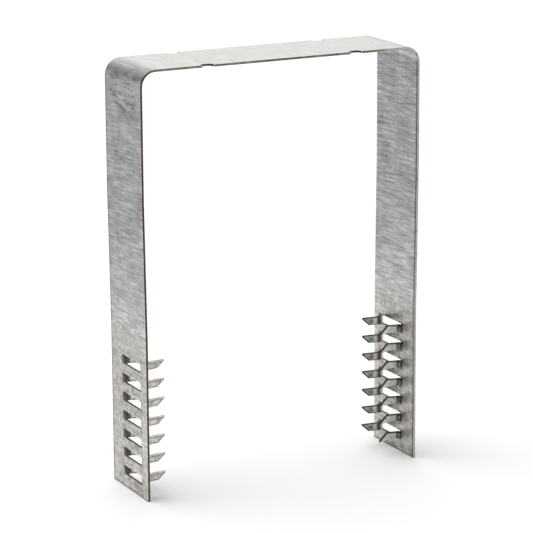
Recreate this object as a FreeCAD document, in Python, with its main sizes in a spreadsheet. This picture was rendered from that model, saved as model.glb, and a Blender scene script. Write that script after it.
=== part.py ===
import FreeCAD, Part
import Sketcher
import os

# A stud tie: one galvanised strap folded into an upright U, a crossbar on top and two toothed legs.
# X runs along the crossbar, Y across the strap and Z up; the origin lies midway between the leg ends.
# One half is built and given a half turn about Z, because the tie looks the same after a half turn.

doc = FreeCAD.newDocument("stud_tie")

# Driving sizes in millimetres, edge_draft in degrees.
driving = {
    "frame_gap": "91",        # clear width between the upper legs
    "gauge": "0.8",           # sheet thickness
    "strap_width": "25",
    "tie_height": "130",      # leg end to the top of the crossbar
    "bend_inside": "4.2",     # inside radius between crossbar and leg
    "leg_set": "0.5",         # how far the toothed ends stand in from the upper legs
    "set_length": "42",       # height of the sloping stretch that makes the set
    "set_land": "7.4",        # plain height between that stretch and the top slot
    "slot_rows": "7",
    "slot_pitch": "5.8",
    "slot_height": "2.8",     # also the width of the longer tooth at its root
    "end_land": "4",          # leg end to the lowest slot
    "near_margin": "3.6",     # strap edge to the fold of the longer tooth
    "far_margin": "7.8",      # other strap edge to the fold of the shorter tooth
    "near_radius": "1.6",     # inside radius of the longer tooth's fold
    "far_radius": "0.8",      # inside radius of the shorter tooth's fold
    "far_relief": "0.5",      # height left open in the slot above the shorter tooth's fold
    "near_reach": "7.8",      # leg's inner face to the tip of the longer tooth
    "far_reach": "6.9",       # leg's inner face to the tip of the shorter tooth
    "tip_slant": "2.5",       # how far a tooth's point leads its other corner
    "tip_flat": "0.6",        # height of the blunt end of a point
    "near_rise": "0.2",       # how far the longer tooth rises towards its tip
    "far_droop": "0.3",       # slot's upper edge down to the shoulder of the shorter tooth
    "point_droop": "0.6",     # how far the shorter tooth's point hangs below its slot
    "edge_draft": "22",       # slope of the sheared sides of a tooth
    "notch_spacing": "49",    # between the two notches of one crossbar edge
    "notch_width": "3.8",
    "notch_depth": "2",
    "notch_corner": "1.2",    # rounding of a notch's inner corners
}
sizes = doc.addObject("Spreadsheet::Sheet", "sizes")
for row, (alias, value) in enumerate(driving.items(), start=1):
    sizes.set("A%d" % row, alias)
    sizes.set("B%d" % row, value)
    sizes.setAlias("B%d" % row, alias)
doc.recompute()

# Derived lengths, as expressions over the sheet.
UPPER_INNER = "(sizes.frame_gap / 2)"
UPPER_OUTER = "(sizes.frame_gap / 2 + sizes.gauge)"
LOWER_INNER = "(sizes.frame_gap / 2 - sizes.leg_set)"
LOWER_OUTER = "(sizes.frame_gap / 2 + sizes.gauge - sizes.leg_set)"
BEND_OUTSIDE = "(sizes.bend_inside + sizes.gauge)"
BEND_X = "(sizes.frame_gap / 2 - sizes.bend_inside)"
BEND_Z = "(sizes.tie_height - sizes.gauge - sizes.bend_inside)"
PATTERN_HEIGHT = "(sizes.slot_pitch * (sizes.slot_rows - 1))"
SLOT_TOP = "(sizes.end_land + sizes.slot_height)"
SET_BOTTOM = "(sizes.end_land + sizes.slot_height + %s + sizes.set_land)" % PATTERN_HEIGHT
SET_TOP = "(%s + sizes.set_length)" % SET_BOTTOM
NEAR_FOLD = "(sizes.strap_width / 2 - sizes.near_margin)"
FAR_FOLD = "(sizes.strap_width / 2 - sizes.far_margin)"
NEAR_OUTSIDE = "(sizes.near_radius + sizes.gauge)"
NEAR_FOLD_X = "(sizes.frame_gap / 2 - sizes.leg_set - sizes.near_radius)"
NEAR_TAIL_X = "(%s - sizes.gauge / 2)" % NEAR_FOLD_X
FAR_OUTSIDE = "(sizes.far_radius + sizes.gauge)"
FAR_FOLD_X = "(sizes.frame_gap / 2 - sizes.leg_set - sizes.far_radius)"
FAR_TAIL_X = "(%s - sizes.gauge / 2)" % FAR_FOLD_X
FAR_TOP = "(sizes.end_land + sizes.slot_height - sizes.far_relief)"
NOTCH_NEAR = "((sizes.notch_spacing - sizes.notch_width) / 2)"
NOTCH_FAR = "((sizes.notch_spacing + sizes.notch_width) / 2)"
EDGE = "(sizes.strap_width / 2)"
NOTCH_FLOOR = "(sizes.strap_width / 2 - sizes.notch_depth)"
NOTCH_SHOULDER = "(sizes.strap_width / 2 - sizes.notch_depth + sizes.notch_corner)"
NOTCH_ROUND_FAR = "((sizes.notch_spacing + sizes.notch_width) / 2 - sizes.notch_corner)"
NOTCH_ROUND_NEAR = "((sizes.notch_spacing - sizes.notch_width) / 2 + sizes.notch_corner)"

body = doc.addObject("PartDesign::Body", "tie_strap")
body.Label = "tie_strap"
body.Placement = FreeCAD.Placement()
origin = {feature.Role: feature for feature in body.Origin.OriginFeatures}


def sketch_on(plane, name, lift="0"):
    """A sketch on one of the body's origin planes, moved along the plane's normal by an expression."""
    sketch = body.newObject("Sketcher::SketchObject", name)
    sketch.AttachmentSupport = [(origin[plane], "")]
    sketch.MapMode = "FlatFace"
    sketch.setExpression("AttachmentOffset.Base.z", lift)
    return sketch


def bind(sketch, kind, geometry, end, expression):
    """Tie one coordinate of a corner to an expression, or to the axis when the expression is zero."""
    if expression == "0":
        axis = -2 if kind == "DistanceX" else -1
        sketch.addConstraint(Sketcher.Constraint("PointOnObject", geometry, end, axis))
        return
    value = float(sketch.evalExpression(expression))
    number = sketch.addConstraint(Sketcher.Constraint(kind, -1, 1, geometry, end, value))
    sketch.setExpression("Constraints[%d]" % number, expression)


def outline(sketch, corners):
    """A closed outline through corners (across, up); (across, up, radius, centre) starts a quarter round."""
    def spot(across, up):
        return FreeCAD.Vector(float(sketch.evalExpression(across)), float(sketch.evalExpression(up)), 0)

    spots = [spot(corner[0], corner[1]) for corner in corners]
    ends = []
    for number, corner in enumerate(corners):
        first = spots[number]
        last = spots[(number + 1) % len(spots)]
        if len(corner) == 2:
            geometry = sketch.addGeometry(Part.LineSegment(first, last))
            ends.append((geometry, 1, 2))
            continue
        radius, centre = corner[2], spot(*corner[3])
        to_first, to_last = first - centre, last - centre
        middle = centre + (to_first + to_last).normalize() * to_first.Length
        anticlockwise = to_first.cross(to_last).z > 0
        if anticlockwise:
            geometry = sketch.addGeometry(Part.Arc(first, middle, last))
            ends.append((geometry, 1, 2))
        else:
            geometry = sketch.addGeometry(Part.Arc(last, middle, first))
            ends.append((geometry, 2, 1))
        limit = sketch.addConstraint(Sketcher.Constraint("Radius", geometry, to_first.Length))
        sketch.setExpression("Constraints[%d]" % limit, radius)
    for number, (geometry, start, end) in enumerate(ends):
        following, following_start, _ = ends[(number + 1) % len(ends)]
        sketch.addConstraint(Sketcher.Constraint("Coincident", geometry, end, following, following_start))
        bind(sketch, "DistanceX", geometry, start, corners[number][0])
        bind(sketch, "DistanceY", geometry, start, corners[number][1])


def rectangle(sketch, left, right, low, high):
    """A closed rectangle between four expressions."""
    outline(sketch, [(left, low), (right, low), (right, high), (left, high)])


def feature(kind, name, sketch, length):
    """A pad or pocket of a sketch, as long as an expression."""
    made = body.newObject("PartDesign::" + kind, name)
    made.Profile = sketch
    made.setExpression("Length", length)
    return made


# Half of the folded strap, from the middle of the crossbar down the leg on the -X side.
half_profile = sketch_on("XZ_Plane", "half_profile")
bend_centre = ("-" + BEND_X, BEND_Z)
outline(half_profile, [
    ("0", "sizes.tie_height"),
    ("-" + BEND_X, "sizes.tie_height", BEND_OUTSIDE, bend_centre),
    ("-" + UPPER_OUTER, BEND_Z),
    ("-" + UPPER_OUTER, SET_TOP),
    ("-" + LOWER_OUTER, SET_BOTTOM),
    ("-" + LOWER_OUTER, "0"),
    ("-" + LOWER_INNER, "0"),
    ("-" + LOWER_INNER, SET_BOTTOM),
    ("-" + UPPER_INNER, SET_TOP),
    ("-" + UPPER_INNER, BEND_Z, "sizes.bend_inside", bend_centre),
    ("-" + BEND_X, "sizes.tie_height - sizes.gauge"),
    ("0", "sizes.tie_height - sizes.gauge"),
])
half_strap = feature("Pad", "half_strap", half_profile, "sizes.strap_width")
half_strap.SideType = "Symmetric"

# A small notch with a rounded floor in each edge of the crossbar.
notch_outline = sketch_on("XY_Plane", "notch_outline", "sizes.tie_height")
for side in ("-", ""):
    near_round = ("-" + NOTCH_ROUND_NEAR, side + NOTCH_SHOULDER)
    far_round = ("-" + NOTCH_ROUND_FAR, side + NOTCH_SHOULDER)
    outline(notch_outline, [
        ("-" + NOTCH_NEAR, side + EDGE),
        ("-" + NOTCH_NEAR, side + NOTCH_SHOULDER, "sizes.notch_corner", near_round),
        ("-" + NOTCH_ROUND_NEAR, side + NOTCH_FLOOR),
        ("-" + NOTCH_ROUND_FAR, side + NOTCH_FLOOR, "sizes.notch_corner", far_round),
        ("-" + NOTCH_FAR, side + NOTCH_SHOULDER),
        ("-" + NOTCH_FAR, side + EDGE),
    ])
notches = feature("Pocket", "notches", notch_outline, "2 * sizes.gauge")

# The lowest slot, punched from the leg's inner face outward through the sheet.
slot_outline = sketch_on("YZ_Plane", "slot_outline", "-" + LOWER_INNER)
rectangle(slot_outline, "-" + NEAR_FOLD, FAR_FOLD, "sizes.end_land", SLOT_TOP)
slot = feature("Pocket", "slot", slot_outline, "2 * sizes.gauge")

# The quarter folds at the two ends of that slot, each with a short straight tail.
near_section = sketch_on("XY_Plane", "near_section", "sizes.end_land")
near_centre = ("-" + NEAR_FOLD_X, "-" + NEAR_FOLD)
near_convex = "-%s + %s" % (NEAR_FOLD, NEAR_OUTSIDE)
near_concave = "-%s + sizes.near_radius" % NEAR_FOLD
outline(near_section, [
    ("-" + LOWER_OUTER, "-" + NEAR_FOLD, NEAR_OUTSIDE, near_centre),
    ("-" + NEAR_FOLD_X, near_convex),
    ("-" + NEAR_TAIL_X, near_convex),
    ("-" + NEAR_TAIL_X, near_concave),
    ("-" + NEAR_FOLD_X, near_concave, "sizes.near_radius", near_centre),
    ("-" + LOWER_INNER, "-" + NEAR_FOLD),
])
near_bend = feature("Pad", "near_bend", near_section, "sizes.slot_height")
far_section = sketch_on("XY_Plane", "far_section", "sizes.end_land")
far_centre = ("-" + FAR_FOLD_X, FAR_FOLD)
far_convex = "%s - %s" % (FAR_FOLD, FAR_OUTSIDE)
far_concave = "%s - sizes.far_radius" % FAR_FOLD
outline(far_section, [
    ("-" + LOWER_OUTER, FAR_FOLD, FAR_OUTSIDE, far_centre),
    ("-" + FAR_FOLD_X, far_convex),
    ("-" + FAR_TAIL_X, far_convex),
    ("-" + FAR_TAIL_X, far_concave),
    ("-" + FAR_FOLD_X, far_concave, "sizes.far_radius", far_centre),
    ("-" + LOWER_INNER, FAR_FOLD),
])
far_bend = feature("Pad", "far_bend", far_section, "sizes.slot_height - sizes.far_relief")

# The longer tooth, pointed at its upper corner, drawn on its slot side and drafted away from it.
near_face = sketch_on("XZ_Plane", "near_face", "%s - %s" % (NEAR_FOLD, NEAR_OUTSIDE))
near_tip = "sizes.near_reach - %s" % LOWER_INNER
outline(near_face, [
    ("-" + NEAR_FOLD_X, "sizes.end_land"),
    ("-" + NEAR_TAIL_X, "sizes.end_land"),
    (near_tip + " - sizes.tip_slant", "sizes.end_land + sizes.near_rise"),
    (near_tip, SLOT_TOP + " + sizes.near_rise - sizes.tip_flat"),
    (near_tip, SLOT_TOP + " + sizes.near_rise"),
    ("-" + NEAR_TAIL_X, SLOT_TOP),
    ("-" + NEAR_FOLD_X, SLOT_TOP),
])
near_tooth = feature("Pad", "near_tooth", near_face, "sizes.gauge")
near_tooth.setExpression("TaperAngle", "-sizes.edge_draft")

# The shorter tooth, pointed at its lower corner.
far_face = sketch_on("XZ_Plane", "far_face", "%s - %s" % (FAR_OUTSIDE, FAR_FOLD))
far_tip = "sizes.far_reach - %s" % LOWER_INNER
outline(far_face, [
    ("-" + FAR_FOLD_X, "sizes.end_land"),
    ("-" + FAR_TAIL_X, "sizes.end_land"),
    (far_tip, "sizes.end_land - sizes.point_droop"),
    (far_tip, "sizes.end_land - sizes.point_droop + sizes.tip_flat"),
    (far_tip + " - sizes.tip_slant", SLOT_TOP + " - sizes.far_droop"),
    ("-" + FAR_TAIL_X, FAR_TOP),
    ("-" + FAR_FOLD_X, FAR_TOP),
])
far_tooth = feature("Pad", "far_tooth", far_face, "sizes.gauge")
far_tooth.setExpression("TaperAngle", "-sizes.edge_draft")
far_tooth.Reversed = True

# All slots of one leg, from the lowest up.
tooth_rows = body.newObject("PartDesign::LinearPattern", "tooth_rows")
tooth_rows.Originals = [slot, near_bend, far_bend, near_tooth, far_tooth]
tooth_rows.Direction = (origin["Z_Axis"], [""])
tooth_rows.setExpression("Length", PATTERN_HEIGHT)
tooth_rows.setExpression("Occurrences", "sizes.slot_rows")
body.Tip = tooth_rows
doc.recompute()

# The half turn that completes the U.
half_turn = body.newObject("PartDesign::PolarPattern", "half_turn")
half_turn.TransformMode = "Whole shape"
half_turn.Axis = (origin["Z_Axis"], [""])
half_turn.Angle = 360
half_turn.Occurrences = 2
body.Tip = half_turn
doc.recompute()

for item in doc.Objects:
    if "Invalid" in item.State or "Error" in item.State:
        raise RuntimeError("%s did not build" % item.Label)
if body.Shape.isNull() or not body.Shape.isValid() or len(body.Shape.Solids) != 1:
    raise RuntimeError("the strap is not one sound solid")

os.makedirs("parts", exist_ok=True)
body.Shape.exportStep("parts/%s.step" % body.Label)
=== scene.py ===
import math
from collections import namedtuple

import bmesh
import bpy
from mathutils import Matrix, Vector


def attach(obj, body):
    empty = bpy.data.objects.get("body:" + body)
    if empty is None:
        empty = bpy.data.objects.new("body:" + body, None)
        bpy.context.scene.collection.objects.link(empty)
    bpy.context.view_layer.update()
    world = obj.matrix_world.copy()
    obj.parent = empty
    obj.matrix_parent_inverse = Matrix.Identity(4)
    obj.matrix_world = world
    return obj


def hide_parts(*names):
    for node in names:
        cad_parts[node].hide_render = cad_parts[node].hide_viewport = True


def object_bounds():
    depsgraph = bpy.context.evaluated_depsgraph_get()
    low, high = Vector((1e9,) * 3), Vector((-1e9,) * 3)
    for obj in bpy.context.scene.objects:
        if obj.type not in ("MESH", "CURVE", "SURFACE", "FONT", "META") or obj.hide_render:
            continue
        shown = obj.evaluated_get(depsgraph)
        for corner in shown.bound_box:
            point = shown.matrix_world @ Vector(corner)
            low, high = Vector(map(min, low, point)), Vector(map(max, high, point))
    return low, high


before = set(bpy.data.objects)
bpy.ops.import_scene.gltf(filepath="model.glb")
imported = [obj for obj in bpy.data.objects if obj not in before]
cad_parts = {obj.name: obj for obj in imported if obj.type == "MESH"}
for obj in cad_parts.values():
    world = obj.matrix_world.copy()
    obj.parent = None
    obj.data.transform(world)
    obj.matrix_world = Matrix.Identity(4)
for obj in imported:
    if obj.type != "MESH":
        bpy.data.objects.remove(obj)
cad_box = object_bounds()

# Lengths are in millimetres and angles in degrees unless a comment says otherwise. Blender counts in metres.
MM = 0.001

# Camera at the photograph's viewing angle.
CAMERA_PLACE = (-360.11, -711.83, 262.50)
CAMERA_AZIMUTH = 26.863
CAMERA_DROP = 13.963
CAMERA_ROLL = -0.305
CAMERA_LENS = 182.99
CAMERA_SENSOR = 36.0
CAMERA_NEAREST = 10.0

# The strap's reach comes from the frame. Its sheet, bends and the set of its legs are sizes of the part.
HALF_SPAN, HALF_STRAP, TIE_HEIGHT = (reach / MM for reach in cad_box[1])
GAUGE = 0.8
LEG_SET = 0.5
BEND_OUTSIDE = 5.0
BEND_CENTRE_OUT = HALF_SPAN - BEND_OUTSIDE
BEND_CENTRE_UP = TIE_HEIGHT - BEND_OUTSIDE
CROSSBAR_UNDERSIDE = TIE_HEIGHT - GAUGE
NOTCH_REACH = 30.0

# One pitch of the slots, from PERIOD_START up, has its slot between these two heights.
SLOT_PITCH = 5.8
PERIOD_START = 2.5
SLOT_LOW = 1.5
SLOT_HIGH = 4.3
TOOTH_ZONE_TOP = 45.0
# Folds of a slot's two teeth, across the strap towards the edge with the longer teeth.
SHORT_FOLD = -4.7
LONG_FOLD = 8.9
SLOT_CENTRE = (SHORT_FOLD + LONG_FOLD) / 2
# Outer and inner face of the sheet at the toothed ends, out from the middle.
TOE_OUTER = HALF_SPAN - LEG_SET
TOE_INNER = TOE_OUTER - GAUGE
# How far out the teeth, their borders and their eased edges reach, and where the walls of the slots start.
TOOTH_ROOT = TOE_INNER - 2.0
BORDER_ROOT = TOE_INNER - 2.1
EASED_ROOT = TOE_INNER - 0.1
WALL_START = TOE_INNER + 0.2

# Finishes of the strap's faces, in the order of its material slots.
SHEET, STRAP_EDGE, PALE_CUT, DARK_CUT, SLOT_WALL, PUNCHED, BURR, RIM = range(8)

# Noise of the materials: scale along, across and up per metre, slant of the streaks, detail and roughness.
Grain = namedtuple("Grain", "scale slant detail roughness")
FINE_STREAKS = Grain((2000.0, 120.0, 2000.0), 0.03, 2.0, 0.6)
BROAD_STREAKS = Grain((480.0, 70.0, 480.0), 0.02, 3.0, 0.5)
SCRATCHES = Grain((850.0, 190.0, 850.0), -0.05, 3.0, 0.55)
CLOUDS = Grain((240.0, 240.0, 240.0), 0.0, 3.0, 0.5)
MOTTLE = Grain((750.0, 750.0, 750.0), 0.0, 4.0, 0.65)
SPECKS = Grain((2200.0, 2200.0, 2200.0), 0.0, 2.0, 0.5)
CUT_GRAIN = Grain((1500.0, 1500.0, 1500.0), 0.0, 3.0, 0.6)
PUNCHED_GRAIN = Grain((1100.0, 1100.0, 1100.0), 0.0, 3.0, 0.6)
EDGE_GRAIN = Grain((330.0, 1500.0, 330.0), 0.0, 4.0, 0.65)
EDGE_SPOTS = Grain((420.0, 900.0, 420.0), 0.0, 2.0, 0.5)
# The usual range of a noise's values, and three stops across it.
GRAIN_RANGE = (0.3, 0.7)
GRAIN_STOPS = (0.34, 0.50, 0.68)

# Alpha of every colour, the colour sockets of the Mix node, and where new stops of a ramp start.
OPAQUE = 1.0
MIX_FIRST, MIX_SECOND = 6, 7
MIX_RESULT = 2
MIDWAY = 0.5


def node(tree, kind, **settings):
    made = tree.nodes.new(kind)
    for name, value in settings.items():
        setattr(made, name, value)
    return made


def feed(tree, value, socket):
    """Sets a socket to a number or a colour, or links it to another socket."""
    if isinstance(value, (int, float)):
        socket.default_value = value
    elif isinstance(value, tuple):
        socket.default_value = (*value, OPAQUE)
    else:
        tree.links.new(value, socket)


def math_node(tree, operation, *values, clamp=False):
    made = node(tree, "ShaderNodeMath", operation=operation, use_clamp=clamp)
    for socket, value in zip(made.inputs, values):
        feed(tree, value, socket)
    return made.outputs[0]


def product(tree, *factors):
    total = factors[0]
    for factor in factors[1:]:
        total = math_node(tree, "MULTIPLY", total, factor)
    return total


def ramp(tree, source, stops):
    """A colour ramp over stops of (place, colour)."""
    made = node(tree, "ShaderNodeValToRGB")
    elements = made.color_ramp.elements
    while len(elements) < len(stops):
        elements.new(MIDWAY)
    for element, (place, colour) in zip(elements, stops):
        element.position = place
        element.color = (*colour, OPAQUE)
    feed(tree, source, made.inputs["Fac"])
    return made.outputs["Color"]


def mix_colour(tree, blend, factor, first, second):
    made = node(tree, "ShaderNodeMix", data_type="RGBA", blend_type=blend)
    feed(tree, factor, made.inputs["Factor"])
    feed(tree, first, made.inputs[MIX_FIRST])
    feed(tree, second, made.inputs[MIX_SECOND])
    return made.outputs[MIX_RESULT]


def spread(tree, source, low, high, first, last):
    """Source from low to high becomes first to last."""
    made = node(tree, "ShaderNodeMapRange", interpolation_type="LINEAR", clamp=True)
    feed(tree, source, made.inputs["Value"])
    for name, value in (("From Min", low), ("From Max", high), ("To Min", first), ("To Max", last)):
        made.inputs[name].default_value = value
    return made.outputs["Result"]


def rise(tree, source, start, end):
    """Zero before start, one past end and smooth between; it falls instead when end is below start."""
    made = node(tree, "ShaderNodeMapRange", interpolation_type="SMOOTHSTEP", clamp=True)
    feed(tree, source, made.inputs["Value"])
    made.inputs["From Min"].default_value = start
    made.inputs["From Max"].default_value = end
    return made.outputs["Result"]


def between(tree, source, low, high, soft):
    """One from low to high, with soft ends."""
    past_low = rise(tree, source, low - soft, low + soft)
    below_high = rise(tree, source, high + soft, high - soft)
    return product(tree, past_low, below_high)


def opposite(tree, mask):
    return math_node(tree, "SUBTRACT", 1.0, mask)


def either(tree, first, second):
    return math_node(tree, "MAXIMUM", first, second)


def blend_levels(tree, mask, bare, full):
    """The level bare where mask is zero and full where mask is one."""
    return spread(tree, mask, 0.0, 1.0, bare, full)


def shade(tree, mask, level):
    """A multiplier that is one where mask is zero and level where mask is one."""
    return blend_levels(tree, mask, 1.0, level)


def fade(tree, factor, amount):
    """Brings a multiplier back to one where amount falls to zero."""
    change = math_node(tree, "SUBTRACT", factor, 1.0)
    return math_node(tree, "ADD", math_node(tree, "MULTIPLY", change, amount), 1.0)


def bare_tree(owner):
    """The emptied node tree of a material or a world."""
    owner.use_nodes = True
    owner.node_tree.nodes.clear()
    return owner.node_tree


def new_material(name):
    material = bpy.data.materials.new(name)
    tree = bare_tree(material)
    surface = node(tree, "ShaderNodeOutputMaterial")
    shader = node(tree, "ShaderNodeBsdfPrincipled")
    feed(tree, shader.outputs["BSDF"], surface.inputs["Surface"])
    return material, tree, shader


def dress(tree, shader, colour, metallic, roughness):
    for name, value in (("Base Color", colour), ("Metallic", metallic), ("Roughness", roughness)):
        feed(tree, value, shader.inputs[name])


def add_object(name, data):
    made = bpy.data.objects.new(name, data)
    bpy.context.scene.collection.objects.link(made)
    return made


def object_place(tree):
    return node(tree, "ShaderNodeTexCoord").outputs["Object"]


def axes_of(tree, place):
    split = node(tree, "ShaderNodeSeparateXYZ")
    feed(tree, place, split.inputs[0])
    return split.outputs


def in_millimetres(tree, length):
    return math_node(tree, "DIVIDE", length, MM)


def strap_axes(tree, place):
    """Millimetres out from the middle, across towards the longer teeth, up, and up within one pitch."""
    along, across, up = axes_of(tree, place)
    towards_longer = math_node(tree, "MULTIPLY", math_node(tree, "SIGN", along), across)
    out = in_millimetres(tree, math_node(tree, "ABSOLUTE", along))
    side = in_millimetres(tree, towards_longer)
    height = in_millimetres(tree, up)
    step = math_node(tree, "FLOORED_MODULO", math_node(tree, "SUBTRACT", height, PERIOD_START), SLOT_PITCH)
    return out, side, height, step


def stretched(tree, place, scale, slant):
    """Object coordinates sheared by slant along Y and scaled, so that a noise on them runs in streaks."""
    along, across, up = axes_of(tree, place)
    lean = math_node(tree, "MULTIPLY", across, slant)
    join = node(tree, "ShaderNodeCombineXYZ")
    feed(tree, math_node(tree, "ADD", along, lean), join.inputs["X"])
    feed(tree, across, join.inputs["Y"])
    feed(tree, math_node(tree, "ADD", up, lean), join.inputs["Z"])
    sized = node(tree, "ShaderNodeVectorMath", operation="MULTIPLY")
    feed(tree, join.outputs[0], sized.inputs[0])
    sized.inputs[1].default_value = scale
    return sized.outputs[0]


def noise(tree, place, grain):
    made = node(tree, "ShaderNodeTexNoise", noise_dimensions="3D")
    made.inputs["Scale"].default_value = 1.0
    made.inputs["Detail"].default_value = grain.detail
    made.inputs["Roughness"].default_value = grain.roughness
    feed(tree, stretched(tree, place, grain.scale, grain.slant), made.inputs["Vector"])
    return made.outputs["Fac"]


def relief(tree, shader, height, strength, depth):
    """A bump of the given strength and depth in millimetres."""
    bump = node(tree, "ShaderNodeBump")
    bump.inputs["Strength"].default_value = strength
    bump.inputs["Distance"].default_value = depth * MM
    feed(tree, height, bump.inputs["Height"])
    feed(tree, bump.outputs["Normal"], shader.inputs["Normal"])


# What the tones of the zinc sheet are made from: places on the strap, zones of it and its grain.
Sheet = namedtuple("Sheet", "out side height step toothed flat_top plate inside fine broad cloud mottle")

# Where the zones of the sheet begin and where they are full: up the leg (UP) or out from the middle (OUT).
TOOTHED_UP = (TOOTH_ZONE_TOP + 9.0, TOOTH_ZONE_TOP - 3.0)
CROSSBAR_UP = (TIE_HEIGHT - 3.5, TIE_HEIGHT - 1.5)
CROSSBAR_OUT = (HALF_SPAN - 1.1, HALF_SPAN - 5.8)
PLATE_OUT = (TOE_INNER - 1.4, TOE_INNER - 2.0)
INSIDE_OUT = (TOE_INNER + 0.5, TOE_INNER + 0.2)
TOP_SLOT_UP = (TOOTH_ZONE_TOP - 1.3, TOOTH_ZONE_TOP - 1.8)
LOW_SLOT_UP = (PERIOD_START, PERIOD_START + 0.3)
OUTER_FACE_OUT = (HALF_SPAN - 0.5, HALF_SPAN - 0.3)
INNER_FACE_OUT = (TOE_INNER - 0.4, TOE_INNER - 0.1)


def sheet_parts(tree, place):
    out, side, height, step = strap_axes(tree, place)
    beside_slots = product(tree, rise(tree, height, *TOP_SLOT_UP), rise(tree, height, *LOW_SLOT_UP))
    return Sheet(
        out=out,
        side=side,
        height=height,
        step=step,
        toothed=rise(tree, height, *TOOTHED_UP),
        flat_top=product(tree, rise(tree, height, *CROSSBAR_UP), rise(tree, out, *CROSSBAR_OUT)),
        plate=rise(tree, out, *PLATE_OUT),
        inside=product(tree, rise(tree, out, *INSIDE_OUT), beside_slots),
        fine=noise(tree, place, FINE_STREAKS),
        broad=noise(tree, place, BROAD_STREAKS),
        cloud=noise(tree, place, CLOUDS),
        mottle=noise(tree, place, MOTTLE),
    )


# Noise from the first to the second value becomes a tone from the third to the fourth.
FINE_TONES = (0.26, 0.74, 0.56, 1.44)
BROAD_TONES = (0.30, 0.70, 0.86, 1.14)
CLOUD_TONES = (0.32, 0.68, 0.88, 1.10)
MOTTLE_TONES = (0.28, 0.72, 0.58, 1.42)
PIT_NOISE = (0.60, 0.68)
PIT_TONE = 0.45
# How much of the grain is left in a zone.
CROSSBAR_GRAIN = 0.3
TOOTHED_STREAKS = 0.4
WORN_UP = (TIE_HEIGHT - 24.0, TIE_HEIGHT - 14.0)
WORN_STREAKS = 0.6
PLAIN_SPOTS = 0.35
TOOTHED_SPOTS = 1.0
PLATE_SPOTS = 0.6


def grain_tone(tree, place, sheet):
    """Streaks across the plain strap and spots round the teeth, both calmer on the crossbar."""
    calm = shade(tree, sheet.flat_top, CROSSBAR_GRAIN)
    worn = product(tree, rise(tree, sheet.height, *WORN_UP), rise(tree, sheet.out, *OUTER_FACE_OUT))
    streaked = product(
        tree,
        calm,
        shade(tree, sheet.toothed, TOOTHED_STREAKS),
        shade(tree, worn, WORN_STREAKS),
    )
    spotted = product(
        tree,
        calm,
        blend_levels(tree, sheet.toothed, PLAIN_SPOTS, TOOTHED_SPOTS),
        shade(tree, sheet.plate, PLATE_SPOTS),
    )
    pits = product(tree, rise(tree, noise(tree, place, SPECKS), *PIT_NOISE), spotted)
    return product(
        tree,
        fade(tree, spread(tree, sheet.fine, *FINE_TONES), streaked),
        fade(tree, spread(tree, sheet.broad, *BROAD_TONES), calm),
        fade(tree, spread(tree, sheet.cloud, *CLOUD_TONES), calm),
        fade(tree, spread(tree, sheet.mottle, *MOTTLE_TONES), spotted),
        shade(tree, pits, PIT_TONE),
    )


# A tone multiplies the value of the sheet.
# Painted light: the crossbar's top is made lighter, as where the light from above falls on it.
CROSSBAR_PAINTED_LIGHT = 1.38
TOOTHED_TONE = 0.83
PLATE_TONE = 1.22
# The middle of the legs is duller, between two heights with a soft change.
DULL_UP = (TOOTH_ZONE_TOP + 9.0, TIE_HEIGHT - 38.0, 10.0)
DULL_TONE = 0.90
# Painted light: the toothed ends are made lighter past the folds of the longer teeth.
LIT_BORDER_SIDE = (LONG_FOLD, LONG_FOLD + 0.9)
LIT_BORDER_LIGHT = 1.14


def zone_tone(tree, sheet):
    """The general tone of the crossbar, the legs, the toothed ends and the flats of the teeth, with painted
    light on the crossbar's top and past the longer teeth's folds.
    """
    lit_border = product(tree, sheet.toothed, rise(tree, sheet.side, *LIT_BORDER_SIDE))
    return product(
        tree,
        shade(tree, sheet.flat_top, CROSSBAR_PAINTED_LIGHT),
        shade(tree, sheet.toothed, TOOTHED_TONE),
        shade(tree, between(tree, sheet.height, *DULL_UP), DULL_TONE),
        shade(tree, lit_border, LIT_BORDER_LIGHT),
        shade(tree, product(tree, sheet.plate, sheet.toothed), PLATE_TONE),
    )


# Painted shade on the bends, over their reflections. Outside of a bend: a dark band next to the leg and a
# shoulder by the crossbar. Inside: a darker hollow.
BENT_UP = (BEND_CENTRE_UP + 0.6, BEND_CENTRE_UP + 2.2)
BENT_RADIUS = (BEND_OUTSIDE - 0.5, BEND_OUTSIDE - 0.3)
BAND_OUT = (BEND_CENTRE_OUT + 2.5, BEND_CENTRE_OUT + 4.0)
BEND_BAND_SHADE = 0.52
SHOULDER_OUT = (BEND_CENTRE_OUT - 2.3, BEND_CENTRE_OUT + 2.2)
BEND_SHOULDER_SHADE = 0.78
HOLLOW_UP = (BEND_CENTRE_UP - 1.0, BEND_CENTRE_UP + 2.0)
HOLLOW_RADIUS = (BEND_OUTSIDE - 0.5, BEND_OUTSIDE - 0.7)
BEND_HOLLOW_SHADE = 0.84


def bend_painted_shade(tree, sheet):
    """Painted shade where the sheet is bent, in place of the bends' reflections."""
    past = math_node(tree, "SUBTRACT", sheet.out, BEND_CENTRE_OUT)
    over = math_node(tree, "SUBTRACT", sheet.height, BEND_CENTRE_UP)
    squares = math_node(tree, "ADD", product(tree, past, past), product(tree, over, over))
    radius = math_node(tree, "SQRT", squares)
    bent = product(tree, rise(tree, sheet.height, *BENT_UP), rise(tree, radius, *BENT_RADIUS))
    hollow = product(tree, rise(tree, sheet.height, *HOLLOW_UP), rise(tree, radius, *HOLLOW_RADIUS))
    return product(
        tree,
        shade(tree, product(tree, bent, rise(tree, sheet.out, *BAND_OUT)), BEND_BAND_SHADE),
        shade(tree, product(tree, bent, rise(tree, sheet.out, *SHOULDER_OUT)), BEND_SHOULDER_SHADE),
        shade(tree, hollow, BEND_HOLLOW_SHADE),
    )


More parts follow.
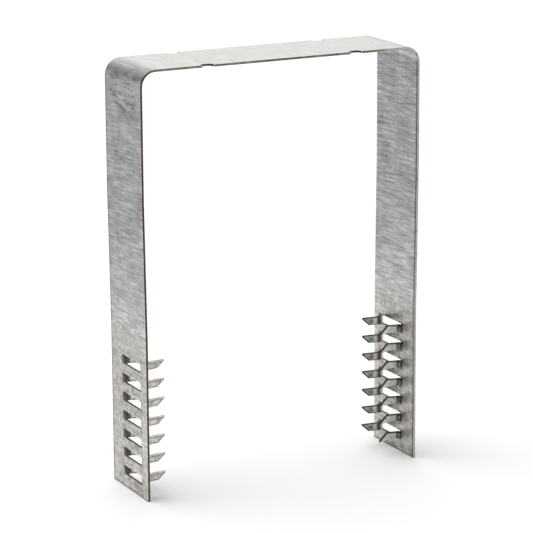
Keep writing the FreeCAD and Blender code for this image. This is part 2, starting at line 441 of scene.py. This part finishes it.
SCUFF_NOISE = (0.52, 0.61)
SCUFF_FOOT_UP = (TIE_HEIGHT - 16.5, TIE_HEIGHT - 12.5)
SCUFF_TOP_UP = (TIE_HEIGHT - 1.4, TIE_HEIGHT - 3.0)
SCUFF_SIDE = (3.5 - HALF_STRAP, HALF_STRAP - 3.5, 1.5)
ON_BEND_UP = (BEND_CENTRE_UP, BEND_CENTRE_UP + 1.0)
SCUFF_TONE = 0.48


def scuff_tone(tree, place, sheet):
    """Dark scuffs on the outside of the legs just below the bends."""
    on_outside = either(tree, rise(tree, sheet.out, *OUTER_FACE_OUT), rise(tree, sheet.height, *ON_BEND_UP))
    scuffs = product(
        tree,
        rise(tree, noise(tree, place, SCRATCHES), *SCUFF_NOISE),
        rise(tree, sheet.height, *SCUFF_FOOT_UP),
        rise(tree, sheet.height, *SCUFF_TOP_UP),
        between(tree, sheet.side, *SCUFF_SIDE),
        on_outside,
    )
    return shade(tree, scuffs, SCUFF_TONE)


# Painted shade along the rolled edge of a leg and a painted highlight along its other edge.
LEG_UP = (BEND_CENTRE_UP + 1.5, BEND_CENTRE_UP - 0.5)
ROLLED_SIDE = (0.9 - HALF_STRAP, 0.5 - HALF_STRAP)
ROLLED_EDGE_SHADE = 0.34
BRIGHT_SIDE = (HALF_STRAP - 0.5, HALF_STRAP - 0.2)
BRIGHT_EDGE_HIGHLIGHT = 1.15


def leg_border_shade_and_highlight(tree, sheet):
    """Painted shade along a leg's edge with the shorter teeth and a painted highlight along its other edge.
    """
    on_leg = rise(tree, sheet.height, *LEG_UP)
    rolled = product(tree, rise(tree, sheet.side, *ROLLED_SIDE), on_leg)
    bright = product(tree, rise(tree, sheet.side, *BRIGHT_SIDE), on_leg)
    return product(tree, shade(tree, rolled, ROLLED_EDGE_SHADE), shade(tree, bright, BRIGHT_EDGE_HIGHLIGHT))


# Marks round the teeth, up within one pitch (STEP) and across (SIDE): from, to and how soft their ends are.
FOLD_STEP = (SLOT_LOW - 0.3, SLOT_HIGH + 0.3, 0.25)
FOLD_OUT = (TOE_INNER - 1.9, TOE_INNER - 1.1)
SHORT_FOLD_SIDE = (SHORT_FOLD - 0.7, SHORT_FOLD + 1.0, 0.3)
LONG_FOLD_SIDE = (LONG_FOLD - 1.0, LONG_FOLD + 0.7, 0.3)
# Painted shade in the concave folds of the teeth.
FOLD_SHADE = 0.32
CREASE_STEP = (SLOT_HIGH - 1.0, SLOT_HIGH + 0.5, 0.25)
CREASE_SIDE = (SHORT_FOLD - 0.6, SHORT_FOLD + 1.9, 0.25)
CREASE_OUT = (TOE_INNER - 2.4, TOE_INNER - 1.6)
CREASE_NOISE = (0.30, 0.45)
# Painted shade in the corner at the top of each shorter fold.
CREASE_SHADE = 0.07
# Painted reflection: the inner face beside the shorter folds is darkened where the teeth would show dark in
# it.
DARK_REFLECTION_STEP = (SLOT_HIGH - 1.9, SLOT_HIGH + 0.2, 0.5)
DARK_REFLECTION_SIDE = (SHORT_FOLD - 4.4, SHORT_FOLD - 0.6, 0.7)
DARK_REFLECTION_NOISE = (0.36, 0.56)
DARK_REFLECTION_SHADE = 0.66
# Painted highlight along the lip over each slot.
LIP_STEP = (SLOT_HIGH, SLOT_HIGH + 0.4, 0.12)
LIP_SIDE = (SHORT_FOLD + 0.5, LONG_FOLD - 1.5, 0.4)
LIP_OUT = (TOE_OUTER - 0.25, TOE_OUTER - 0.05)
LIP_UP = (TOOTH_ZONE_TOP - 1.0, TOOTH_ZONE_TOP - 2.0)
LIP_HIGHLIGHT = 1.3
STAIN_SIDE = (SHORT_FOLD - 1.0, LONG_FOLD + 0.5, 0.8)
STAIN_UP = (TOOTH_ZONE_TOP - 1.5, TOOTH_ZONE_TOP - 3.0)
STAIN_NOISE = (0.50, 0.36)
STAIN_TONE = 0.74


def tooth_tone(tree, sheet):
    """Painted shade in the folds and creases inside, painted dark reflections beside the shorter folds, a
    painted highlight on the lip over each slot, and stains.
    """
    short_fold = between(tree, sheet.side, *SHORT_FOLD_SIDE)
    long_fold = between(tree, sheet.side, *LONG_FOLD_SIDE)
    folds = product(
        tree,
        sheet.inside,
        rise(tree, sheet.out, *FOLD_OUT),
        between(tree, sheet.step, *FOLD_STEP),
        either(tree, short_fold, long_fold),
    )
    creases = product(
        tree,
        sheet.inside,
        between(tree, sheet.step, *CREASE_STEP),
        between(tree, sheet.side, *CREASE_SIDE),
        rise(tree, sheet.out, *CREASE_OUT),
        rise(tree, sheet.cloud, *CREASE_NOISE),
    )
    dark_reflections = product(
        tree,
        sheet.inside,
        between(tree, sheet.step, *DARK_REFLECTION_STEP),
        between(tree, sheet.side, *DARK_REFLECTION_SIDE),
        rise(tree, sheet.out, *INNER_FACE_OUT),
        rise(tree, sheet.mottle, *DARK_REFLECTION_NOISE),
    )
    lips = product(
        tree,
        rise(tree, sheet.out, *LIP_OUT),
        between(tree, sheet.step, *LIP_STEP),
        between(tree, sheet.side, *LIP_SIDE),
        rise(tree, sheet.height, *LIP_UP),
    )
    stains = product(
        tree,
        between(tree, sheet.side, *STAIN_SIDE),
        rise(tree, sheet.height, *STAIN_UP),
        rise(tree, sheet.mottle, *STAIN_NOISE),
    )
    return product(
        tree,
        shade(tree, folds, FOLD_SHADE),
        shade(tree, creases, CREASE_SHADE),
        shade(tree, dark_reflections, DARK_REFLECTION_SHADE),
        shade(tree, lips, LIP_HIGHLIGHT),
        shade(tree, stains, STAIN_TONE),
    )


SHEET_VALUE = 0.54
PLAIN_TINT = (1.0, 1.0, 0.99)
TOOTHED_TINT = (1.0, 0.985, 0.93)
CROSSBAR_TINT = (1.0, 1.0, 0.96)
RUST_SIDE = (SHORT_FOLD - 3.2, SHORT_FOLD - 0.7, 0.5)
RUST_NOISE = (0.48, 0.62)
RUST_SHARE = 0.55
RUST_BROWN = (0.46, 0.37, 0.26)
FOOT_UP = (0.65, 0.35)
FOOT_LEAST = 0.55
FOOT_BROWN = (0.14, 0.10, 0.075)
# The shorter teeth's sheet sides are wiped pale.
WIPED_UP = (TOOTH_ZONE_TOP, TOOTH_ZONE_TOP - 1.0)
WIPED_OUT = (TOE_INNER - 0.9, TOE_INNER - 1.5)
WIPED_SIDE = (SHORT_FOLD + 0.4, SHORT_FOLD + 1.2, 0.1)
WIPED_STOPS = ((0.36, (0.66, 0.65, 0.61)), (0.60, (0.88, 0.87, 0.83)))
SHEET_METALLIC = 0.85
WIPED_METALLIC = 0.30
SHEET_ROUGHNESS = (0.32, 0.42)
# The toothed ends have this share of the sheet's roughness.
TOOTHED_ROUGHNESS = 0.8
SHEET_RELIEF = (0.25, 0.05)


def zinc_colour(tree, sheet, tone, wiped):
    """The sheet's tone with its tints, rust beside the shorter teeth, wiped teeth and brown feet."""
    tint = mix_colour(tree, "MIX", sheet.toothed, PLAIN_TINT, TOOTHED_TINT)
    tint = mix_colour(tree, "MIX", sheet.flat_top, tint, CROSSBAR_TINT)
    colour = mix_colour(tree, "MULTIPLY", 1.0, tint, tone)
    rust = product(
        tree,
        sheet.inside,
        between(tree, sheet.side, *RUST_SIDE),
        rise(tree, sheet.out, *INNER_FACE_OUT),
        rise(tree, sheet.mottle, *RUST_NOISE),
        RUST_SHARE,
    )
    patchy = spread(tree, sheet.mottle, *GRAIN_RANGE, FOOT_LEAST, 1.0)
    foot = product(tree, rise(tree, sheet.height, *FOOT_UP), patchy)
    colour = mix_colour(tree, "MIX", rust, colour, RUST_BROWN)
    colour = mix_colour(tree, "MIX", wiped, colour, ramp(tree, sheet.mottle, WIPED_STOPS))
    return mix_colour(tree, "MIX", foot, colour, FOOT_BROWN)


def zinc_material():
    """Galvanised sheet: streaks across the strap, mottling round the teeth, painted shade on the bends and
    scuffs.
    """
    material, tree, shader = new_material("galvanised_zinc")
    place = object_place(tree)
    sheet = sheet_parts(tree, place)
    tone = product(
        tree,
        grain_tone(tree, place, sheet),
        zone_tone(tree, sheet),
        bend_painted_shade(tree, sheet),
        scuff_tone(tree, place, sheet),
        leg_border_shade_and_highlight(tree, sheet),
        tooth_tone(tree, sheet),
    )
    tone = math_node(tree, "MULTIPLY", tone, SHEET_VALUE, clamp=True)
    wiped = product(
        tree,
        rise(tree, sheet.height, *WIPED_UP),
        rise(tree, sheet.out, *WIPED_OUT),
        between(tree, sheet.side, *WIPED_SIDE),
    )
    gloss = spread(tree, sheet.broad, *GRAIN_RANGE, *SHEET_ROUGHNESS)
    roughness = product(tree, gloss, shade(tree, sheet.toothed, TOOTHED_ROUGHNESS))
    metallic = blend_levels(tree, wiped, SHEET_METALLIC, WIPED_METALLIC)
    dress(tree, shader, zinc_colour(tree, sheet, tone, wiped), metallic, roughness)
    streaks = product(tree, sheet.fine, opposite(tree, sheet.toothed))
    spots = product(tree, sheet.mottle, sheet.toothed)
    relief(tree, shader, math_node(tree, "ADD", streaks, spots), *SHEET_RELIEF)
    return material


# Sheared steel: a name, the dark, middle and pale tones of its grain, metallic and roughness.
Cut = namedtuple("Cut", "name tones metallic roughness")
PALE_TONES = ((0.52, 0.47, 0.43), (0.78, 0.73, 0.68), (0.90, 0.87, 0.82))
DARK_TONES = ((0.016, 0.010, 0.007), (0.044, 0.027, 0.018), (0.10, 0.068, 0.048))
WALL_TONES = ((0.032, 0.018, 0.011), (0.090, 0.053, 0.033), (0.17, 0.115, 0.078))
BURR_TONES = ((0.018, 0.010, 0.006), (0.046, 0.027, 0.017), (0.12, 0.080, 0.056))
RIM_TONES = ((0.16, 0.12, 0.09), (0.40, 0.38, 0.35), (0.56, 0.54, 0.51))
CUTS = {
    PALE_CUT: Cut("pale_cut", PALE_TONES, 0.4, 0.45),
    DARK_CUT: Cut("dark_cut", DARK_TONES, 0.1, 0.5),
    SLOT_WALL: Cut("slot_wall", WALL_TONES, 0.1, 0.5),
    BURR: Cut("burr", BURR_TONES, 0.1, 0.5),
    RIM: Cut("rim", RIM_TONES, 0.7, 0.42),
}
CUT_RELIEF = (0.3, 0.04)


def cut_material(cut):
    """Sheared steel with a coarse grain between three tones."""
    material, tree, shader = new_material(cut.name)
    grain = noise(tree, object_place(tree), CUT_GRAIN)
    colour = ramp(tree, grain, tuple(zip(GRAIN_STOPS, cut.tones)))
    dress(tree, shader, colour, cut.metallic, cut.roughness)
    relief(tree, shader, grain, *CUT_RELIEF)
    return material


# Punched sides: the longer teeth's flats are mottled and darker in the middle, the shorter teeth's are pale.
SIDE_CHANGE = (SLOT_CENTRE + 0.5, SLOT_CENTRE - 0.5)
LONGER_TONES = ((0.34, 0.34, 0.33), (0.52, 0.52, 0.51), (0.70, 0.69, 0.67))
SHORTER_TONE = (0.84, 0.83, 0.80)
MIDDLE_OUT = (TOE_INNER - 5.3, TOE_INNER - 3.9, 0.5)
MIDDLE_STEP = (2.3, 3.5, 0.5)
MIDDLE_SHADE = (0.46, 0.47, 0.48)
# Towards the fold come a painted highlight line, a brown root deepened with painted shade and the turned
# sheet, each with a ragged edge.
RAGGED = (-0.3, 0.3)
FOLD_HIGHLIGHT_OUT = (TOE_INNER - 3.4, TOE_INNER - 2.7, 0.2)
FOLD_HIGHLIGHT_PALE = (0.86, 0.82, 0.78)
TURNED_OUT = (TOE_INNER - 1.0, TOE_INNER - 0.7)
TURNED_GREY = (0.50, 0.49, 0.46)
LONGER_ROOT_OUT = (TOE_INNER - 2.1, TOE_INNER - 0.9, 0.2)
LONGER_ROOT_BROWN_SHADE = (0.090, 0.064, 0.044)
SHORTER_ROOT_OUT = (TOE_INNER - 1.1, TOE_INNER - 0.8)
SHORTER_ROOT_BROWN_SHADE = (0.190, 0.150, 0.110)
PUNCHED_METALLIC = 0.35
PUNCHED_ROUGHNESS = 0.4
PUNCHED_RELIEF = (0.3, 0.05)


def punched_material():
    """The side of a tooth that faces its slot: dull zinc, brown with painted shade at the fold, a painted
    highlight line on longer teeth.
    """
    material, tree, shader = new_material("punched_side")
    place = object_place(tree)
    out, side, _, step = strap_axes(tree, place)
    grain = noise(tree, place, PUNCHED_GRAIN)
    shorter = rise(tree, side, *SIDE_CHANGE)
    longer = opposite(tree, shorter)
    colour = ramp(tree, grain, tuple(zip(GRAIN_STOPS, LONGER_TONES)))
    colour = mix_colour(tree, "MIX", shorter, colour, SHORTER_TONE)
    middle = product(tree, longer, between(tree, out, *MIDDLE_OUT), between(tree, step, *MIDDLE_STEP))
    colour = mix_colour(tree, "MULTIPLY", middle, colour, MIDDLE_SHADE)
    reach = math_node(tree, "ADD", out, spread(tree, grain, *GRAIN_RANGE, *RAGGED))
    marks = (
        (longer, between(tree, reach, *FOLD_HIGHLIGHT_OUT), FOLD_HIGHLIGHT_PALE),
        (longer, rise(tree, reach, *TURNED_OUT), TURNED_GREY),
        (longer, between(tree, reach, *LONGER_ROOT_OUT), LONGER_ROOT_BROWN_SHADE),
        (shorter, rise(tree, reach, *SHORTER_ROOT_OUT), SHORTER_ROOT_BROWN_SHADE),
    )
    for teeth, mask, paint in marks:
        colour = mix_colour(tree, "MIX", product(tree, teeth, mask), colour, paint)
    dress(tree, shader, colour, PUNCHED_METALLIC, PUNCHED_ROUGHNESS)
    relief(tree, shader, grain, *PUNCHED_RELIEF)
    return material


# Zinc is wiped over the long edges in two steps along X, the other way round on the other edge.
FIRST_WIPE = (HALF_SPAN - 0.8, HALF_SPAN - 3.8)
SECOND_WIPE = (18.3 - HALF_SPAN, 2.3 - HALF_SPAN)
WIPE_SHARE = 0.5
EDGE_GRAIN_SWING = (-0.24, 0.24)
EDGE_SPOT_NOISE = (0.60, 0.70)
EDGE_SPOT_SHARE = 0.5
EDGE_STOPS = (
    (0.0, (0.060, 0.034, 0.024)),
    (0.22, (0.100, 0.064, 0.048)),
    (0.50, (0.20, 0.155, 0.130)),
    (0.80, (0.46, 0.40, 0.37)),
    (1.0, (0.58, 0.53, 0.50)),
)
EDGE_METALLIC = 0.4
EDGE_ROUGHNESS = 0.5


def strap_edge_material():
    """The strap's sheared edges, brown at one end of each long edge and wiped pale at the other."""
    material, tree, shader = new_material("strap_edge")
    place = object_place(tree)
    along, across, _ = axes_of(tree, place)
    run = in_millimetres(tree, math_node(tree, "MULTIPLY", math_node(tree, "SIGN", across), along))
    wipes = math_node(tree, "ADD", rise(tree, run, *FIRST_WIPE), rise(tree, run, *SECOND_WIPE))
    grain = noise(tree, place, EDGE_GRAIN)
    spots = rise(tree, noise(tree, place, EDGE_SPOTS), *EDGE_SPOT_NOISE)
    swing = spread(tree, grain, *GRAIN_RANGE, *EDGE_GRAIN_SWING)
    zinc = math_node(tree, "ADD", product(tree, wipes, WIPE_SHARE), swing)
    zinc = math_node(tree, "SUBTRACT", zinc, product(tree, spots, EDGE_SPOT_SHARE), clamp=True)
    dress(tree, shader, ramp(tree, zinc, EDGE_STOPS), EDGE_METALLIC, EDGE_ROUGHNESS)
    relief(tree, shader, grain, *CUT_RELIEF)
    return material


def strap_materials():
    """The strap's materials in the order of its finishes."""
    made = {finish: cut_material(cut) for finish, cut in CUTS.items()}
    made[SHEET] = zinc_material()
    made[STRAP_EDGE] = strap_edge_material()
    made[PUNCHED] = punched_material()
    return [made[finish] for finish in sorted(made)]


# How near to the strap's outline still counts as on it.
OUTLINE_REACH = 0.1
# Shares of a direction along an axis: flat of a tooth, nearly along, upright, a cut and a fold.
FLAT_SHARE = 0.99
ALONG_SHARE = 0.9
UPRIGHT_SHARE = 0.5
CUT_SHARE = 0.3
FOLD_SHARE = 0.02


def on_long_edge(spot):
    return abs(spot.y) > HALF_STRAP - OUTLINE_REACH


def finish_of(face):
    """The finish of a face of the bare strap, from where it lies and which way it points."""
    normal = face.normal
    centre = face.calc_center_median() / MM
    out = abs(centre.x)
    if on_long_edge(centre) and abs(normal.y) > ALONG_SHARE:
        return STRAP_EDGE
    if centre.z < OUTLINE_REACH and normal.z < -ALONG_SHARE:
        return STRAP_EDGE
    if centre.z > CROSSBAR_UNDERSIDE and out < NOTCH_REACH and abs(normal.z) < UPRIGHT_SHARE:
        return DARK_CUT
    if centre.z > TOOTH_ZONE_TOP:
        return SHEET
    from_slot = centre.y - math.copysign(SLOT_CENTRE, centre.x)
    if abs(normal.z) > CUT_SHARE or (out < TOOTH_ROOT and abs(normal.x) > CUT_SHARE):
        if out > WALL_START:
            return SLOT_WALL
        is_longer_tooth = from_slot * centre.x > 0 and out < TOOTH_ROOT
        return PALE_CUT if is_longer_tooth else DARK_CUT
    is_tooth = abs(normal.y) > FOLD_SHARE and not on_long_edge(centre)
    return PUNCHED if is_tooth and from_slot * normal.y < 0 else SHEET


# A flat of a tooth is larger than this area in square millimetres, and its border is this wide.
LEAST_PLATE = 2.0
BORDER_WIDTH = 0.38
BORDER_SNAP = 0.005


def is_plate(face):
    """Whether a face is the flat of a tooth."""
    centre = face.calc_center_median() / MM
    is_flat = abs(face.normal.y) > FLAT_SHARE and face.calc_area() > LEAST_PLATE * MM * MM
    return is_flat and centre.z < TOOTH_ZONE_TOP and abs(centre.x) < TOOTH_ROOT


def border_plate(shape, plate):
    """Cuts a narrow border along a tooth's free edges and gives it its finish.

    The sheet side of a shorter tooth has none.
    """
    middle = plate.calc_center_median() / MM
    is_longer = middle.y * middle.x > SLOT_CENTRE * abs(middle.x)
    is_punched = plate.material_index == PUNCHED
    if not is_longer and not is_punched:
        return
    lines = []
    for loop in plate.loops:
        start, end = loop.vert.co, loop.link_loop_next.vert.co
        is_free = min(abs(start.x), abs(end.x)) < BORDER_ROOT * MM
        if is_free and (end - start).length > BORDER_WIDTH * MM:
            lines.append((start.copy(), plate.normal.cross(end - start).normalized()))
    pieces = [plate]
    for start, inward in lines:
        edges = dict.fromkeys(edge for face in pieces for edge in face.edges)
        corners = dict.fromkeys(corner for face in pieces for corner in face.verts)
        cut = bmesh.ops.bisect_plane(
            shape,
            geom=[*pieces, *edges, *corners],
            dist=BORDER_SNAP * MM,
            plane_co=start + inward * BORDER_WIDTH * MM,
            plane_no=inward,
        )
        pieces = [item for item in cut["geom"] if isinstance(item, bmesh.types.BMFace)]
    for face in pieces:
        centre = face.calc_center_median()
        near = [inward for start, inward in lines if (centre - start).dot(inward) < BORDER_WIDTH * MM]
        if near:
            is_lower = all(inward.z > ALONG_SHARE for inward in near)
            face.material_index = BURR if is_punched and is_longer and not is_lower else RIM


def middle_of(edge):
    return (edge.verts[0].co + edge.verts[1].co) / 2 / MM


def on_outline(edge):
    """Whether an edge belongs to the strap's long edges, its ends or its notches."""
    middle = middle_of(edge)
    return on_long_edge(middle) or middle.z < OUTLINE_REACH or middle.z > TOOTH_ZONE_TOP


def on_tooth(edge):
    return abs(middle_of(edge).x) < EASED_ROOT and not on_outline(edge)


# Edges sharper than this angle are eased. The rounding of a tooth keeps the finish of the faces beside it.
SHARP_ANGLE = 18.0
OUTLINE_EASE = 0.10
TOOTH_EASE = 0.08
EASE_SEGMENTS = 2
ROUND_PROFILE = 0.5
KEEP_FINISH = -1


def ease(shape, test, width, finish):
    """Rounds the sharp edges that pass a test."""
    sharp = [edge for edge in shape.edges if edge.calc_face_angle(0.0) > math.radians(SHARP_ANGLE)]
    bmesh.ops.bevel(
        shape,
        geom=[edge for edge in sharp if test(edge)],
        offset=width * MM,
        offset_type="OFFSET",
        segments=EASE_SEGMENTS,
        profile=ROUND_PROFILE,
        affect="EDGES",
        clamp_overlap=False,
        material=finish,
    )


# Corners nearer than WELD are joined, faces within FLAT_ANGLE become one, and slivers under STRAY go.
WELD = 0.06
FLAT_ANGLE = 0.3
STRAY = 0.002


def strap_mesh():
    """The CAD strap with flat faces joined, finishes told apart and the edges of outline and teeth eased."""
    shape = bmesh.new()
    shape.from_mesh(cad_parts["tie_strap"].data)
    bmesh.ops.remove_doubles(shape, verts=shape.verts, dist=WELD * MM)
    bmesh.ops.dissolve_limit(
        shape,
        angle_limit=math.radians(FLAT_ANGLE),
        verts=shape.verts,
        edges=shape.edges,
    )
    for face in shape.faces:
        face.material_index = finish_of(face)
        face.smooth = True
    ease(shape, on_outline, OUTLINE_EASE, SHEET)
    ease(shape, on_tooth, TOOTH_EASE, KEEP_FINISH)
    for plate in [face for face in shape.faces if is_plate(face)]:
        border_plate(shape, plate)
    bmesh.ops.dissolve_degenerate(shape, dist=STRAY * MM, edges=shape.edges)
    mesh = bpy.data.meshes.new("strap_skin")
    shape.to_mesh(mesh)
    shape.free()
    return mesh


def make_strap():
    """The dressed strap, in the place of the CAD strap."""
    mesh = strap_mesh()
    for material in strap_materials():
        mesh.materials.append(material)
    strap = add_object("strap_skin", mesh)
    firm = strap.modifiers.new("firm_normals", "WEIGHTED_NORMAL")
    firm.keep_sharp = False
    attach(strap, "root")
    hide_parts("tie_strap")


WHITE = (1.0, 1.0, 1.0)


def seen_directly(tree):
    """One for rays from the camera, reflections and light through glass, zero for light between surfaces."""
    path = node(tree, "ShaderNodeLightPath")
    seen = either(tree, path.outputs["Is Camera Ray"], path.outputs["Is Glossy Ray"])
    return either(tree, seen, path.outputs["Is Transmission Ray"])


# Half the floor's width and its gap under the strap, and a slight glow that takes the floor to white.
FLOOR_HALF = 4000.0
FLOOR_GAP = 0.02
FLOOR_GREY = (0.94, 0.94, 0.94)
FLOOR_METALLIC = 0.0
FLOOR_ROUGHNESS = 0.9
FLOOR_GLOW = 0.12


def make_floor():
    half = FLOOR_HALF * MM
    corners = [(-half, -half, 0), (half, -half, 0), (half, half, 0), (-half, half, 0)]
    mesh = bpy.data.meshes.new("floor")
    mesh.from_pydata(corners, [], [(0, 1, 2, 3)])
    floor = add_object("floor", mesh)
    floor.location.z = -FLOOR_GAP * MM
    material, tree, shader = new_material("pale_floor")
    dress(tree, shader, FLOOR_GREY, FLOOR_METALLIC, FLOOR_ROUGHNESS)
    feed(tree, WHITE, shader.inputs["Emission Color"])
    feed(tree, product(tree, seen_directly(tree), FLOOR_GLOW), shader.inputs["Emission Strength"])
    mesh.materials.append(material)


SURROUND_RADIUS = 300.0
SURROUND_HEIGHT = 160.0
SURROUND_STEPS = 64
SURROUND_GREY = (0.56, 0.56, 0.56)


def make_surround():
    """A grey ring round the object that only its reflections see, as the sides of a light tent."""
    steps = SURROUND_STEPS
    angles = [math.tau * i / steps for i in range(steps)]
    ring = [(SURROUND_RADIUS * MM * math.cos(a), SURROUND_RADIUS * MM * math.sin(a)) for a in angles]
    corners = [(x, y, height * MM) for height in (0.0, SURROUND_HEIGHT) for x, y in ring]
    faces = [(i, (i + 1) % steps, steps + (i + 1) % steps, steps + i) for i in range(steps)]
    mesh = bpy.data.meshes.new("surround")
    mesh.from_pydata(corners, [], faces)
    material = bpy.data.materials.new("grey_surround")
    tree = bare_tree(material)
    surface = node(tree, "ShaderNodeOutputMaterial")
    glow = node(tree, "ShaderNodeEmission")
    feed(tree, SURROUND_GREY, glow.inputs["Color"])
    feed(tree, glow.outputs[0], surface.inputs["Surface"])
    mesh.materials.append(material)
    surround = add_object("surround", mesh)
    surround.visible_camera = False
    surround.visible_diffuse = False
    surround.visible_shadow = False
    surround.visible_transmission = False


LAMP_STRENGTH = 2.5
LAMP_SPREAD = 70.0
LAMP_TURN = (-20.0, -10.0, 0.0)
FILL_GREY = (0.30, 0.30, 0.30)


def make_lamp():
    lamp = bpy.data.lights.new("soft_key", "SUN")
    lamp.energy = LAMP_STRENGTH
    lamp.angle = math.radians(LAMP_SPREAD)
    key = add_object("soft_key", lamp)
    key.rotation_euler = [math.radians(turn) for turn in LAMP_TURN]
    key.visible_glossy = False


def make_world():
    """A grey fill light that shows as white to the camera and in reflections."""
    world = bpy.data.worlds.new("studio")
    bpy.context.scene.world = world
    tree = bare_tree(world)
    surface = node(tree, "ShaderNodeOutputWorld")
    fill = node(tree, "ShaderNodeBackground")
    feed(tree, FILL_GREY, fill.inputs["Color"])
    white = node(tree, "ShaderNodeBackground")
    feed(tree, WHITE, white.inputs["Color"])
    choose = node(tree, "ShaderNodeMixShader")
    for source, socket in zip((seen_directly(tree), fill.outputs[0], white.outputs[0]), choose.inputs):
        feed(tree, source, socket)
    feed(tree, choose.outputs[0], surface.inputs["Surface"])


def make_camera():
    data = bpy.data.cameras.new("camera")
    data.sensor_width = CAMERA_SENSOR
    data.lens = CAMERA_LENS
    data.clip_start = CAMERA_NEAREST * MM
    camera = add_object("camera", data)
    turn = Matrix.Rotation(math.radians(-CAMERA_AZIMUTH), 4, "Z")
    tip = Matrix.Rotation(math.radians(90.0 - CAMERA_DROP), 4, "X")
    roll = Matrix.Rotation(math.radians(CAMERA_ROLL), 4, "Z")
    camera.matrix_world = Matrix.Translation(Vector(CAMERA_PLACE) * MM) @ turn @ tip @ roll
    bpy.context.scene.camera = camera


make_strap()
make_floor()
make_surround()
make_lamp()
make_world()
make_camera()
bpy.context.scene.view_settings.view_transform = "Standard"
